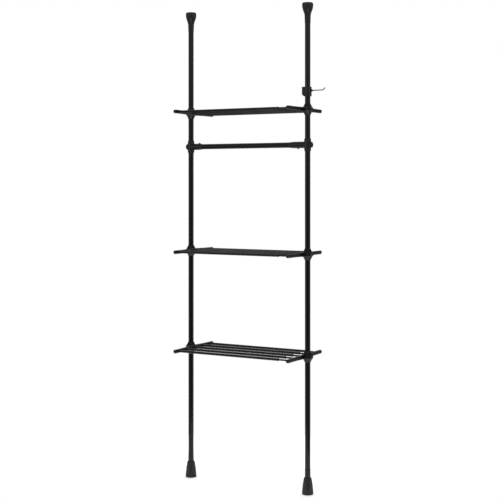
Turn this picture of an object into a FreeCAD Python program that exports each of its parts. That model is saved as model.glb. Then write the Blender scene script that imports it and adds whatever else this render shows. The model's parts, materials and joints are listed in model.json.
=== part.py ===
import FreeCAD, Part
import math
import os

# Tension pole shelf unit: two steel poles held between floor and ceiling, with tube
# shelves, a hanger bar and a small hook clamped to them.
# Millimetres. Origin at the middle of the left foot's underside, +X towards the right
# pole, +Y to the back, +Z up. Each node of the unit goes to its own file in parts/.

# Whole unit
pole_spacing = 640.0
overall_height = 2286.0

# Clearances
slide_gap = 0.08        # pieces that slide or turn on each other
seat_gap = 0.05         # pieces pressed or screwed into each other
face_gap = 0.3          # faces that move past or away from each other

# Poles
pole_diameter = 25.4
pole_wall = 1.2
pole_joint_height = 1180.0
pole_joint_seam = 0.2
coupler_length = 160.0
coupler_wall = 1.6

# Feet
foot_pad_height = 16.0
foot_pad_floor = 8.0
foot_radius = 26.4
foot_chamfer = 0.9
foot_spigot_radius = 20.0
foot_shoulder_height = 73.0
foot_shoulder_radius = 18.2
foot_shoulder_rise = 6.0
foot_shoulder_sag = 1.3
foot_cone_sag = 1.2
foot_neck_top = 118.0
foot_neck_wall = 1.0
foot_neck_tip_wall = 0.6
foot_flute_count = 8
foot_flute_phase = 30.0
foot_flute_radius = 4.0
foot_flute_depth = 0.7
foot_flute_rise = 3.6       # from the cone's base to where the flutes start
foot_plug_length = 40.0

# Ceiling jacks, heights counted down from the top of the unit
jack_travel = 40.0
pad_thickness = 4.0
pad_radius = 23.5
plate_thickness = 4.0
plate_radius = 23.8
plate_stub_radius = 6.0
plate_stub_length = 12.0
cap_rim_drop = 3.0
cap_rim_radius = 25.5
cap_widest_drop = 11.0
cap_radius = 26.6
cap_waist_drop = 39.0
cap_waist_radius = 20.2
cap_length = 57.7
cap_neck_radius = 14.5
cap_neck_sag = 0.5
cap_waist_sag = 1.6
cap_rim_sag = 0.4
cap_lobe_count = 6
cap_lobe_phase = 30.0
cap_flute_radius = 7.0
cap_flute_depth = 1.7
rod_radius = 7.0
rod_in_cap = 33.0
nut_collar_length = 37.0
nut_collar_tip_wall = 0.7
nut_plug_length = 56.0
nut_lid = 4.0

# Shelves
low_shelf_height = 639.0
middle_shelf_height = 1115.0
top_shelf_height = 1790.0
shelf_depth = 337.0         # between the middles of an arm's two round ends
shelf_tube_count = 5
shelf_tube_inset = 23.0     # from the arm's round end to the outermost tube
outer_tube_diameter = 12.0
tube_wall = 0.9
bush_wall = 0.85
bush_length = 12.0
bush_flange = 3.0
bush_flange_rise = 0.7
inner_tube_show = 52.0      # inner tube left bare beside the right bracket
inner_tube_tail = 30.0      # from the left bracket to the inner tube's end
socket_depth = 9.0

# Shelf brackets and their pole clamps
arm_thickness = 12.5
arm_tip_height = 17.5
arm_root_height = 22.0      # beside the pole, inside the hub
arm_root_depth = 14.0       # from the pole's axis to where the arm is tallest
arm_sag = 0.8               # hollow of the arm's upper and lower edge
arm_edge_radius = 3.5
arm_standoff = 3.3          # from the pole's surface to the arm's middle
arm_end_radius = 9.0
arm_end_chamfer = 1.8
boss_radius = 7.9
boss_rise = 2.4
boss_chamfer = 0.8
hub_half_height = 26.5
hub_band_half = 5.5
hub_flare = 13.0
hub_tip_wall = 1.2
hub_sag = 1.0
split_width = 1.6
clamp_screw_diameter = 4.0
clamp_screw_length = 22.0
clamp_head_radius = 3.7
clamp_head_height = 2.6
clamp_screw_wall = 3.0      # from the pole to the screw's hole
clamp_head_seat = 12.0

# Hanger bar and its tees
bar_below_shelf = 165.0     # from the top shelf down to the bar
bar_tube_diameter = 25.4
bar_tube_wall = 1.0
bar_inner_tail = 12.0       # from the left socket's mouth to the inner tube's end
tee_half_height = 31.0
tee_band_half = 15.0
tee_wall = 3.6
tee_tip_wall = 1.2
tee_sag = 0.8
tee_socket_wall = 2.8
left_socket_length = 66.0
left_socket_straight = 52.0
left_socket_lip = 0.6
right_socket_length = 97.0
right_socket_straight = 68.0
right_socket_lip = 0.5
bar_seat_offset = 4.0
bar_screw_offset = 49.0
bar_screw_diameter = 3.5
bar_screw_length = 7.0
bar_screw_head_radius = 3.6
bar_screw_head_height = 2.4
bar_screw_boss_radius = 5.4
bar_screw_boss_rise = 1.5
tee_nub_radius = 10.5
tee_nub_length = 4.6
stud_radius = 3.0
turn_knob_radius = 14.2
turn_knob_thickness = 8.0
turn_knob_crown = 4.0
turn_knob_crown_radius = 7.8
turn_knob_crown_sag = 0.8
turn_knob_lobes = 6
turn_knob_flute_radius = 5.0
turn_knob_flute_depth = 1.4

# Hook
hook_above_shelf = 83.0     # from the top shelf up to the hook's clip
hook_clip_height = 44.0
hook_clip_wall = 3.6
hook_liner_wall = 2.0
hook_liner_slit = 3.0
hook_ear_margin = 0.6       # ear left bare around the screw's head
hook_ear_depth = 15.0
hook_ear_chamfer = 9.0
hook_ear_slit = 2.0
hook_screw_diameter = 4.0
hook_screw_head_radius = 3.3
hook_screw_head_height = 2.4
hook_wire_diameter = 4.6
hook_wire_rise = 4.0        # of the wire above the clip's middle
hook_wire_bend = 72.0       # from the pole's axis to where the wire turns up
hook_bend_radius = 18.0
hook_bend_angle = 62.0
hook_wire_embed = 8.0
hook_boss_radius = 6.5
hook_boss_length = 3.0
hook_nose_radius = 3.6        # where the boss tapers to the wire
hook_nose_length = 5.0
hook_nose_sag = 0.7

# Cross-head screws, as shares of the head's radius or height and of the shank's diameter
screw_flat_share = 0.55
screw_crown_share = 0.2
screw_tip_share = 0.25
cross_reach_share = 0.6
cross_half_width_share = 0.12
cross_depth_share = 0.5

# Worked out from the sizes above
pole_radius = pole_diameter / 2
pole_bore = pole_radius - pole_wall
clamp_bore = pole_radius + slide_gap
sleeve_bore = pole_radius + seat_gap
left_x = 0.0
right_x = pole_spacing
bar_height = top_shelf_height - bar_below_shelf
hook_height = top_shelf_height + hook_above_shelf
arm_offset = pole_radius + arm_standoff
arm_near = arm_offset - arm_thickness / 2
arm_far = arm_offset + arm_thickness / 2
outer_tube_radius = outer_tube_diameter / 2
outer_tube_bore = outer_tube_radius - tube_wall
inner_tube_radius = outer_tube_bore - seat_gap - bush_wall - slide_gap
hub_radius = pole_radius + hub_flare
clamp_screw_radius = clamp_screw_diameter / 2
clamp_screw_y = pole_radius + clamp_screw_wall + clamp_screw_radius
bar_tube_radius = bar_tube_diameter / 2
bar_inner_radius = bar_tube_radius - bar_tube_wall - slide_gap
bar_seat = pole_radius + bar_seat_offset
clip_bore = clamp_bore + hook_liner_wall + slide_gap
clip_radius = clip_bore + hook_clip_wall
hook_screw_x = clip_radius + hook_ear_margin + hook_screw_head_radius
hook_ear_reach = hook_screw_x + hook_screw_head_radius + hook_ear_margin
wire_root = clip_radius + hook_boss_length + hook_nose_length - hook_wire_embed
through = 4 * pole_diameter     # longer than any hole that is cut right through

nodes = {}


def via(start, end, sag):
    """Middle point of an arc from start to end, set off to the left of the way by sag."""
    across = end[0] - start[0]
    along = end[1] - start[1]
    chord = math.hypot(across, along)
    middle_a = (start[0] + end[0]) / 2 - along / chord * sag
    middle_b = (start[1] + end[1]) / 2 + across / chord * sag
    return (middle_a, middle_b, "via")


def closed_face(points, to_space):
    """Flat face with the given corners; a point marked via is the middle of an arc."""
    edges = []
    start = points[0]
    middle = None
    for point in points[1:] + points[:1]:
        if len(point) == 3:
            middle = to_space(point[0], point[1])
            continue
        if middle is None:
            edge = Part.LineSegment(to_space(*start), to_space(*point))
        else:
            edge = Part.Arc(to_space(*start), middle, to_space(*point))
        edges.append(edge.toShape())
        start = point
        middle = None
    return Part.Face(Part.Wire(edges))


def turned(points):
    """Solid turned about Z from an outline of (radius, height) points."""
    face = closed_face(points, lambda r, z: FreeCAD.Vector(r, 0, z))
    return face.revolve(FreeCAD.Vector(0, 0, 0), FreeCAD.Vector(0, 0, 1), 360)


def rod(radius, bottom, top):
    """Round bar along Z."""
    return Part.makeCylinder(radius, top - bottom, FreeCAD.Vector(0, 0, bottom))


def pipe(outer, inner, bottom, top):
    """Round tube along Z."""
    return rod(outer, bottom, top).cut(rod(inner, bottom, top))


def block(low, high):
    """Box between two corners."""
    size = FreeCAD.Vector(*high) - FreeCAD.Vector(*low)
    return Part.makeBox(size.x, size.y, size.z, FreeCAD.Vector(*low))


def aimed(shape, direction, point=(0, 0, 0)):
    """Copy of a shape made along +Z, turned to point along direction and set at point."""
    turn = FreeCAD.Rotation(FreeCAD.Vector(0, 0, 1), FreeCAD.Vector(*direction))
    placed = shape.copy()
    placed.Placement = FreeCAD.Placement(FreeCAD.Vector(*point), turn).multiply(shape.Placement)
    return placed


def around(shape, degrees):
    """Copy of a shape turned about Z."""
    copy = shape.copy()
    copy.rotate(FreeCAD.Vector(0, 0, 0), FreeCAD.Vector(0, 0, 1), degrees)
    return copy


def moved(shape, x=0.0, y=0.0, z=0.0):
    """Copy of a shape moved by x, y and z."""
    copy = shape.copy()
    copy.translate(FreeCAD.Vector(x, y, z))
    return copy


def on_pole(shape, side, z):
    """Set a shape made with the pole as its Z axis and +X inboard on one of the poles."""
    if side == "left":
        return moved(shape, x=left_x, z=z)
    return moved(around(shape, 180), x=right_x, z=z)


def fluted(shape, tool, count, phase):
    """Cut one tool out of a turned shape at even angles."""
    tools = [around(tool, phase + 360.0 / count * index) for index in range(count)]
    return shape.cut(Part.makeCompound(tools))


def soften(shape, radius, wanted):
    """Round the edges that the test wants."""
    edges = [edge for edge in shape.Edges if wanted(edge)]
    return shape.makeFillet(radius, edges)


def save(name, *shapes):
    """Keep the solids of a node and write them to its file."""
    solids = []
    for shape in shapes:
        solids.extend(shape.Solids)
    nodes[name] = Part.makeCompound(solids) if len(solids) > 1 else solids[0]
    nodes[name].exportStep("parts/" + name + ".step")


def pan_screw(diameter, length, head_radius, head_height):
    """Cross-head screw along +Z with the underside of its head at the origin."""
    tip = diameter * screw_tip_share
    flat = head_radius * screw_flat_share
    screw = turned([
        (0, -head_height),
        (flat, -head_height),
        via((flat, -head_height), (head_radius, 0), -head_height * screw_crown_share),
        (head_radius, 0),
        (diameter / 2, 0),
        (diameter / 2, length - tip),
        (diameter / 2 - tip, length),
        (0, length),
    ])
    arm = head_radius * cross_reach_share
    half = head_radius * cross_half_width_share
    depth = head_height * cross_depth_share
    for reach_x, reach_y in ((arm, half), (half, arm)):
        low = (-reach_x, -reach_y, -head_height)
        high = (reach_x, reach_y, depth - head_height)
        screw = screw.cut(block(low, high))
    return screw


# ---------------------------------------------------------------- poles

def foot_pad():
    """Rubber sole: a shallow cup that the foot's spigot sits in."""
    sole = foot_radius - 2 * foot_chamfer
    return turned([
        (0, 0),
        (sole, 0),
        (foot_radius - foot_chamfer / 2, foot_chamfer),
        (foot_radius, foot_pad_height - foot_chamfer),
        (foot_radius - foot_chamfer, foot_pad_height),
        (foot_spigot_radius + seat_gap, foot_pad_height),
        (foot_spigot_radius + seat_gap, foot_pad_floor),
        (0, foot_pad_floor),
    ])


def foot_cone():
    """Moulded foot: a fluted cone with a neck, and a slot that the pole stands in."""
    base = (foot_radius, foot_pad_height + foot_chamfer)
    shoulder = (foot_shoulder_radius, foot_shoulder_height)
    neck_foot = (pole_radius + foot_neck_wall, foot_shoulder_height + foot_shoulder_rise)
    cone = turned([
        (0, foot_pad_floor),
        (foot_spigot_radius, foot_pad_floor),
        (foot_spigot_radius, foot_pad_height),
        (foot_radius - foot_chamfer, foot_pad_height),
        base,
        via(base, shoulder, -foot_cone_sag),
        shoulder,
        via(shoulder, neck_foot, -foot_shoulder_sag),
        neck_foot,
        (pole_radius + foot_neck_tip_wall, foot_neck_top),
        (0, foot_neck_top),
    ])
    slope = (shoulder[0] - base[0], 0, shoulder[1] - base[1])
    length = math.hypot(slope[0], slope[2])
    start = (base[0] + foot_flute_radius - foot_flute_depth, 0, base[1] + foot_flute_rise)
    flute = aimed(rod(foot_flute_radius, 0, length), slope, start)
    cone = fluted(cone, flute, foot_flute_count, foot_flute_phase)
    slot_floor = foot_pad_height + foot_chamfer
    cone = cone.cut(rod(sleeve_bore, slot_floor, foot_neck_top))
    plug = rod(pole_bore - seat_gap, slot_floor, slot_floor + foot_plug_length)
    return cone.fuse(plug).removeSplitter()


def jack_nut():
    """Threaded bush in the pole's top end, with a collar over the outside of the tube."""
    top = -cap_length - face_gap
    tube_end = top - nut_lid
    collar_foot = top - nut_collar_length
    return turned([
        (rod_radius + slide_gap, top),
        (cap_neck_radius, top),
        (pole_radius + nut_collar_tip_wall, collar_foot),
        (sleeve_bore, collar_foot),
        (sleeve_bore, tube_end),
        (pole_bore - seat_gap, tube_end),
        (pole_bore - seat_gap, tube_end - nut_plug_length),
        (rod_radius + slide_gap, tube_end - nut_plug_length),
    ])


def ceiling_cap():
    """Bell-shaped hand grip with a lobed rim, and a dish for the pad on top."""
    dish = plate_radius + face_gap
    dish_floor = -pad_thickness - plate_thickness - face_gap
    stub_bore = plate_stub_radius + slide_gap
    stub_floor = dish_floor - plate_stub_length
    neck = (cap_neck_radius, -cap_length)
    waist = (cap_waist_radius, -cap_waist_drop)
    widest = (cap_radius, -cap_widest_drop)
    rim = (cap_rim_radius, -cap_rim_drop)
    bell = turned([
        (0, -cap_length),
        neck,
        via(neck, waist, cap_neck_sag),
        waist,
        via(waist, widest, -cap_waist_sag),
        widest,
        via(widest, rim, -cap_rim_sag),
        rim,
        (dish, -cap_rim_drop),
        (dish, dish_floor),
        (stub_bore, dish_floor),
        (stub_bore, stub_floor),
        (0, stub_floor),
    ])
    centre = cap_radius + cap_flute_radius - cap_flute_depth
    flute = moved(rod(cap_flute_radius, -cap_length, 0), x=centre)
    bell = fluted(bell, flute, cap_lobe_count, cap_lobe_phase)
    rod_hole = rod(rod_radius + seat_gap, -cap_length, rod_in_cap - cap_length)
    return bell.cut(rod_hole)


def jack_rod():
    """Screwed rod that the cap turns in the jack nut."""
    lead = rod_radius / 5
    top = rod_in_cap - cap_length - seat_gap
    nut_foot = -cap_length - face_gap - nut_lid - nut_plug_length
    bottom = nut_foot - jack_travel
    return turned([
        (0, bottom),
        (rod_radius - lead, bottom),
        (rod_radius, bottom + lead),
        (rod_radius, top - lead),
        (rod_radius - lead, top),
        (0, top),
    ])


def pad_plate():
    """Disc under the ceiling pad, with the stub that the cap turns on."""
    top = -pad_thickness
    underside = top - plate_thickness
    return turned([
        (0, top),
        (plate_radius, top),
        (plate_radius, underside),
        (plate_stub_radius, underside),
        (plate_stub_radius, underside - plate_stub_length),
        (0, underside - plate_stub_length),
    ])


def ceiling_pad():
    """Rubber disc that presses on the ceiling."""
    edge = pad_thickness / 4
    return turned([
        (0, -pad_thickness),
        (pad_radius, -pad_thickness),
        (pad_radius, -edge),
        (pad_radius - edge, 0),
        (0, 0),
    ])


def save_pole(side):
    """Both tubes, foot and ceiling jack of one pole."""
    half_seam = pole_joint_seam / 2
    tube_foot = foot_pad_height + foot_chamfer + seat_gap
    tube_top = overall_height - cap_length - face_gap - nut_lid - seat_gap
    lower = pipe(pole_radius, pole_bore, tube_foot, pole_joint_height - half_seam)
    upper = pipe(pole_radius, pole_bore, pole_joint_height + half_seam, tube_top)
    coupler_outer = pole_bore - seat_gap
    coupler_inner = coupler_outer - coupler_wall
    coupler_foot = pole_joint_height - coupler_length / 2
    coupler = pipe(coupler_outer, coupler_inner, coupler_foot, coupler_foot + coupler_length)
    save(side + "_foot_pad", on_pole(foot_pad(), side, 0))
    save(side + "_foot_cone", on_pole(foot_cone(), side, 0))
    save(side + "_lower_tube", on_pole(lower, side, 0))
    save(side + "_tube_coupler", on_pole(coupler, side, 0))
    save(side + "_upper_tube", on_pole(upper, side, 0))
    save(side + "_jack_nut", on_pole(jack_nut(), side, overall_height))
    save(side + "_jack_rod", on_pole(jack_rod(), side, overall_height))
    save(side + "_ceiling_cap", on_pole(ceiling_cap(), side, overall_height))
    save(side + "_pad_plate", on_pole(pad_plate(), side, overall_height))
    save(side + "_ceiling_pad", on_pole(ceiling_pad(), side, overall_height))


# ---------------------------------------------------------------- shelves

def tube_places():
    """Y of each shelf tube, from front to back."""
    front = shelf_tube_inset - shelf_depth / 2
    pitch = -2 * front / (shelf_tube_count - 1)
    return [front + pitch * index for index in range(shelf_tube_count)]


def clamp_hub():
    """Whole pole clamp before it is split: a double cone with a plain band round its middle."""
    tip = pole_radius + hub_tip_wall
    low_tip = (tip, -hub_half_height)
    low_band = (hub_radius, -hub_band_half)
    high_band = (hub_radius, hub_band_half)
    high_tip = (tip, hub_half_height)
    return turned([
        (0, -hub_half_height),
        low_tip,
        via(low_tip, low_band, hub_sag),
        low_band,
        high_band,
        via(high_band, high_tip, hub_sag),
        high_tip,
        (0, hub_half_height),
    ])


def screw_places():
    """Y of the front and the back clamp screw."""
    return (-clamp_screw_y, clamp_screw_y)


def clamp_half():
    """Outboard half of the clamp, with the recesses for the screw heads."""
    reach = 2 * hub_radius
    room = block((-reach, -reach, -reach), (-split_width / 2, reach, reach))
    half = clamp_hub().common(room).cut(rod(clamp_bore, -reach, reach))
    for y in screw_places():
        hole = rod(clamp_screw_radius + seat_gap, -reach, 0)
        recess = rod(clamp_head_radius + face_gap, -reach, -clamp_head_seat)
        half = half.cut(aimed(hole, (1, 0, 0), (0, y, 0)))
        half = half.cut(aimed(recess, (1, 0, 0), (0, y, 0)))
    return half


def shelf_arm():
    """Beam across the pole that grows taller from its tips to the clamp."""
    tip = (shelf_depth / 2, arm_tip_height / 2)
    root = (arm_root_depth, arm_root_height / 2)
    outline = [tip, via(tip, root, arm_sag), root]
    points = []
    for sign_y, sign_z, backwards in ((1, 1, False), (-1, 1, True), (-1, -1, False), (1, -1, True)):
        quarter = [(p[0] * sign_y, p[1] * sign_z) + p[2:] for p in outline]
        points.extend(reversed(quarter) if backwards else quarter)
    side = closed_face(points, lambda y, z: FreeCAD.Vector(arm_near, y, z))
    arm = side.extrude(FreeCAD.Vector(arm_thickness, 0, 0))
    return soften(arm, arm_edge_radius, lambda edge: edge.Length > shelf_depth / 4)


def chamfered_disc(radius, start, end, chamfer):
    """Disc along Z with both its edges chamfered."""
    return turned([
        (0, start),
        (radius - chamfer, start),
        (radius, start + chamfer),
        (radius, end - chamfer),
        (radius - chamfer, end),
        (0, end),
    ])


def bracket(tube_radius):
    """Inboard half of the clamp in one piece with the arm that carries the shelf tubes."""
    reach = 2 * hub_radius
    room = block((split_width / 2, -reach, -reach), (reach, reach, reach))
    body = clamp_hub().common(room).fuse(shelf_arm())
    end = chamfered_disc(arm_end_radius, arm_near, arm_far, arm_end_chamfer)
    boss = chamfered_disc(boss_radius, arm_offset, arm_far + boss_rise, boss_chamfer)
    for y in (-shelf_depth / 2, shelf_depth / 2):
        body = body.fuse(aimed(end, (1, 0, 0), (0, y, 0)))
    for y in tube_places():
        body = body.fuse(aimed(boss, (1, 0, 0), (0, y, 0)))
    body = body.cut(rod(clamp_bore, -reach, reach))
    for y in tube_places():
        seat = rod(tube_radius + seat_gap, socket_floor(), through)
        body = body.cut(aimed(seat, (1, 0, 0), (0, y, 0)))
    for y in screw_places():
        pilot = rod(clamp_screw_radius + seat_gap, 0, clamp_screw_length - clamp_head_seat + seat_gap)
        body = body.cut(aimed(pilot, (1, 0, 0), (0, y, 0)))
    return body.removeSplitter()


def socket_floor():
    """Distance from the pole's axis to the bottom of a tube socket."""
    return arm_far + boss_rise - socket_depth


def clamp_screws():
    """The two screws of one clamp."""
    screw = pan_screw(clamp_screw_diameter, clamp_screw_length, clamp_head_radius, clamp_head_height)
    return [aimed(screw, (1, 0, 0), (-clamp_head_seat, y, 0)) for y in screw_places()]


def guide_bush(end):
    """Flanged bush in the open end of an outer tube; the inner tube slides in it."""
    bore = inner_tube_radius + slide_gap
    return turned([
        (bore, end - bush_length),
        (outer_tube_bore - seat_gap, end - bush_length),
        (outer_tube_bore - seat_gap, end),
        (outer_tube_radius + bush_flange_rise, end),
        (outer_tube_radius + bush_flange_rise, end + bush_flange),
        (bore, end + bush_flange),
    ])


def save_shelf(name, height):
    """One shelf: a left and a right half that telescope into each other."""
    left_start = left_x + socket_floor() + seat_gap
    right_start = right_x - socket_floor() - seat_gap
    outer_end = right_x - arm_far - boss_rise - inner_tube_show - bush_flange
    inner_end = left_x + arm_far + boss_rise + inner_tube_tail
    outer = pipe(outer_tube_radius, outer_tube_bore, left_start, outer_end)
    inner = pipe(inner_tube_radius, inner_tube_radius - tube_wall, inner_end, right_start)
    bush = guide_bush(outer_end)
    places = [(0, y, height) for y in tube_places()]
    save(name + "_left_bracket", on_pole(bracket(outer_tube_radius), "left", height))
    save(name + "_right_bracket", on_pole(bracket(inner_tube_radius), "right", height))
    for side in ("left", "right"):
        save(name + "_" + side + "_clamp", on_pole(clamp_half(), side, height))
        save(name + "_" + side + "_screws", *[on_pole(s, side, height) for s in clamp_screws()])
    save(name + "_outer_tubes", *[aimed(outer, (1, 0, 0), place) for place in places])
    save(name + "_guide_bushes", *[aimed(bush, (1, 0, 0), place) for place in places])
    save(name + "_inner_tubes", *[aimed(inner, (1, 0, 0), place) for place in places])


# ---------------------------------------------------------------- hanger bar

def bar_tee(tube_radius, length, straight, lip, screw_side):
    """Collar on the pole with a socket for the bar inboard and a nub for the knob outboard."""
    tip = pole_radius + tee_tip_wall
    band = pole_radius + tee_wall
    low_tip = (tip, -tee_half_height)
    low_band = (band, -tee_band_half)
    high_band = (band, tee_band_half)
    high_tip = (tip, tee_half_height)
    body = turned([
        (0, -tee_half_height),
        low_tip,
        via(low_tip, low_band, -tee_sag),
        low_band,
        high_band,
        via(high_band, high_tip, -tee_sag),
        high_tip,
        (0, tee_half_height),
    ])
    socket_radius = bar_tube_radius + tee_socket_wall
    socket = turned([
        (0, 0),
        (socket_radius, 0),
        (socket_radius, straight),
        (tube_radius + lip, length),
        (0, length),
    ])
    nub = rod(tee_nub_radius, 0, pole_radius + tee_nub_length)
    boss_top = socket_radius + bar_screw_boss_rise
    boss = rod(bar_screw_boss_radius, 0, boss_top)
    boss_place = (bar_screw_offset, 0, 0)
    body = body.fuse([
        aimed(socket, (1, 0, 0)),
        aimed(nub, (-1, 0, 0)),
        aimed(boss, (0, 0, screw_side), boss_place),
    ])
    body = body.cut(rod(clamp_bore, -through, through))
    body = body.cut(aimed(rod(tube_radius + seat_gap, bar_seat, through), (1, 0, 0)))
    body = body.cut(aimed(rod(stud_radius + slide_gap, 0, through), (-1, 0, 0)))
    screw_hole = rod(bar_screw_diameter / 2 + seat_gap, 0, through)
    return body.cut(aimed(screw_hole, (0, 0, screw_side), boss_place)).removeSplitter()


def bar_screw(screw_side):
    """Screw that holds the bar's tube in the tee's socket."""
    seat = bar_tube_radius + tee_socket_wall + bar_screw_boss_rise
    screw = pan_screw(bar_screw_diameter, bar_screw_length, bar_screw_head_radius, bar_screw_head_height)
    return aimed(screw, (0, 0, -screw_side), (bar_screw_offset, 0, screw_side * seat))


def turn_knob():
    """Lobed knob and its stud; the stud's end presses on the pole."""
    base = pole_radius + tee_nub_length + face_gap
    crown = (turn_knob_crown_radius, base + turn_knob_thickness)
    brim = (turn_knob_radius, base + turn_knob_thickness - turn_knob_crown)
    knob = turned([
        (0, pole_radius + face_gap),
        (stud_radius, pole_radius + face_gap),
        (stud_radius, base),
        (turn_knob_radius - turn_knob_crown / 3, base),
        (turn_knob_radius, base + turn_knob_crown / 3),
        brim,
        via(brim, crown, -turn_knob_crown_sag),
        crown,
        (0, base + turn_knob_thickness),
    ])
    centre = turn_knob_radius + turn_knob_flute_radius - turn_knob_flute_depth
    flute = moved(rod(turn_knob_flute_radius, base, base + turn_knob_thickness), x=centre)
    return aimed(fluted(knob, flute, turn_knob_lobes, 0), (-1, 0, 0))


def screwed_tube(tube, hole_x, height, screw_side):
    """Cut the hole for the socket's screw through one wall of a bar tube."""
    hole = rod(bar_screw_diameter / 2 + seat_gap, 0, bar_tube_diameter)
    return tube.cut(aimed(hole, (0, 0, screw_side), (hole_x, 0, height)))


def save_bar(height):
    """Hanger bar: an outer tube in the left tee, sliding over an inner tube in the right tee."""
    outer_end = right_x - right_socket_length - face_gap
    inner_end = left_x + left_socket_length + bar_inner_tail
    outer = pipe(bar_tube_radius, bar_tube_radius - bar_tube_wall, bar_seat + seat_gap, outer_end)
    inner_bore = bar_inner_radius - bar_tube_wall
    inner = pipe(bar_inner_radius, inner_bore, inner_end, right_x - bar_seat - seat_gap)
    outer = aimed(outer, (1, 0, 0), (0, 0, height))
    inner = aimed(inner, (1, 0, 0), (0, 0, height))
    left_tee = bar_tee(bar_tube_radius, left_socket_length, left_socket_straight, left_socket_lip, 1)
    right_tee = bar_tee(bar_inner_radius, right_socket_length, right_socket_straight,
                        right_socket_lip + bar_tube_radius - bar_inner_radius, -1)
    save("bar_left_tee", on_pole(left_tee, "left", height))
    save("bar_right_tee", on_pole(right_tee, "right", height))
    save("bar_left_screw", on_pole(bar_screw(1), "left", height))
    save("bar_right_screw", on_pole(bar_screw(-1), "right", height))
    save("bar_left_knob", on_pole(turn_knob(), "left", height))
    save("bar_right_knob", on_pole(turn_knob(), "right", height))
    save("bar_outer_tube", screwed_tube(outer, left_x + bar_screw_offset, height, 1))
    save("bar_inner_tube", screwed_tube(inner, right_x - bar_screw_offset, height, -1))


# ---------------------------------------------------------------- hook

def hook_liner():
    """Split sleeve that grips the pole; the clip turns on it."""
    half = hook_clip_height / 2 - face_gap
    outer = pole_radius + slide_gap + hook_liner_wall
    sleeve = pipe(outer, clamp_bore, -half, half)
    slit = hook_liner_slit / 2
    return sleeve.cut(block((0, -slit, -half), (2 * outer, slit, half)))


def hook_clip():
    """Clip with clamping ears inboard and a boss for the wire outboard."""
    half = hook_clip_height / 2
    ring = rod(clip_radius, -half, half)
    rim = 2 * math.pi * clip_radius
    ring = soften(ring, hook_clip_wall / 4, lambda edge: abs(edge.Length - rim) < seat_gap)
    ear_half = hook_ear_depth / 2
    ear_points = [
        (0, half),
        (hook_ear_reach, half),
        (hook_ear_reach, hook_ear_chamfer - half),
        (hook_ear_reach - hook_ear_chamfer, -half),
        (0, -half),
    ]
    ears = closed_face(ear_points, lambda x, z: FreeCAD.Vector(x, -ear_half, z))
    ears = ears.extrude(FreeCAD.Vector(0, hook_ear_depth, 0))
    boss_end = clip_radius + hook_boss_length
    brim = (hook_boss_radius, boss_end)
    nose = (hook_nose_radius, boss_end + hook_nose_length)
    boss = turned([(0, 0), (hook_boss_radius, 0), brim, via(brim, nose, hook_nose_sag), nose, (0, nose[1])])
    boss = aimed(boss, (-1, 0, 0), (0, 0, hook_wire_rise))
    clip = ring.fuse([ears, boss]).cut(rod(clip_bore, -half, half))
    slit = hook_ear_slit / 2
    clip = clip.cut(block((0, -slit, -half), (hook_ear_reach, slit, half)))
    hole = rod(hook_screw_diameter / 2 + seat_gap, -ear_half, ear_half)
    clip = clip.cut(aimed(hole, (0, 1, 0), (hook_screw_x, 0, 0)))
    wire_hole = rod(hook_wire_diameter / 2 + seat_gap, wire_root, through)
    return clip.cut(aimed(wire_hole, (-1, 0, 0), (0, 0, hook_wire_rise))).removeSplitter()


def hook_screw():
    """Screw through the clip's ears, its head at the front."""
    screw = pan_screw(hook_screw_diameter, hook_ear_depth, hook_screw_head_radius, hook_screw_head_height)
    return aimed(screw, (0, -1, 0), (hook_screw_x, hook_ear_depth / 2, 0))


def hook_wire():
    """Bent wire: straight out of the boss, then up in one bend."""
    radius = hook_wire_diameter / 2
    angle = math.radians(hook_bend_angle)
    start = FreeCAD.Vector(-wire_root - seat_gap, 0, 0)
    bend = FreeCAD.Vector(-hook_wire_bend, 0, 0)
    centre = bend + FreeCAD.Vector(0, 0, hook_bend_radius)

    def on_bend(turn):
        offset = FreeCAD.Vector(-math.sin(turn), 0, -math.cos(turn))
        return centre + offset * hook_bend_radius

    straight = Part.LineSegment(start, bend).toShape()
    arc = Part.Arc(bend, on_bend(angle / 2), on_bend(angle)).toShape()
    section = Part.Wire(Part.makeCircle(radius, start, FreeCAD.Vector(-1, 0, 0)))
    wire = Part.Wire([straight, arc]).makePipeShell([section], True, False)
    tip = Part.makeSphere(radius, on_bend(angle))
    return moved(wire.fuse(tip).removeSplitter(), z=hook_wire_rise)


def save_hook(height):
    """Hook on the right pole."""
    save("hook_liner", on_pole(hook_liner(), "right", height))
    save("hook_clip", on_pole(hook_clip(), "right", height))
    save("hook_clip_screw", on_pole(hook_screw(), "right", height))
    save("hook_wire", on_pole(hook_wire(), "right", height))


os.makedirs("parts", exist_ok=True)
save_pole("left")
save_pole("right")
save_shelf("low_shelf", low_shelf_height)
save_shelf("middle_shelf", middle_shelf_height)
save_shelf("top_shelf", top_shelf_height)
save_bar(bar_height)
save_hook(hook_height)

for node_name, node_shape in nodes.items():
    if not node_shape.isValid():
        print("not valid:", node_name)
print(len(nodes), "nodes,", sum(len(shape.Solids) for shape in nodes.values()), "solids")
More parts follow.
